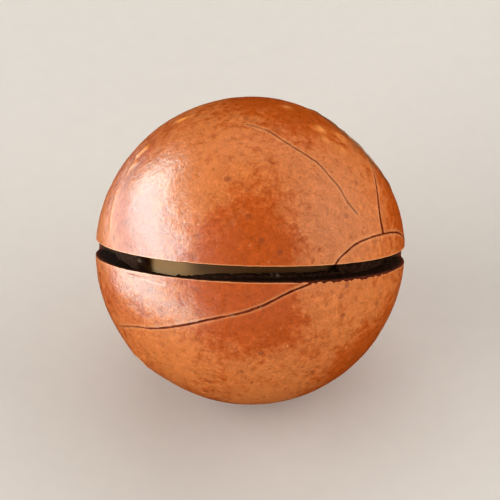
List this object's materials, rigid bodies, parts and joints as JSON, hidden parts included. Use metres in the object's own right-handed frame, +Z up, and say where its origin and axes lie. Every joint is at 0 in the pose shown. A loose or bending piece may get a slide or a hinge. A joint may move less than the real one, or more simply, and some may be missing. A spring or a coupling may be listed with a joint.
{
  "type": "macadamia nut in shell",
  "caption": "Round roasted macadamia nut in its woody shell, sawn part way round for opening, with hairline cracks and the loose cream kernel inside.",
  "frame": {"origin": "on the surface that the nut rests on, under the middle of its small flat resting spot", "axes": "+Z up; the saw slit faces -Y and upwards; +X is the nut's right as the slit is seen from the front; the scar faces +X, +Y and up"},
  "size_m": [0.025, 0.0249, 0.0248],
  "materials": {
    "roasted_shell": "semi-gloss orange-brown woody skin with fine flecks",
    "cream_kernel": "slightly waxy cream nut flesh"
  },
  "bodies": {
    "root": {"shell": "roasted_shell", "kernel": "cream_kernel"}
  },
  "joints": []
}
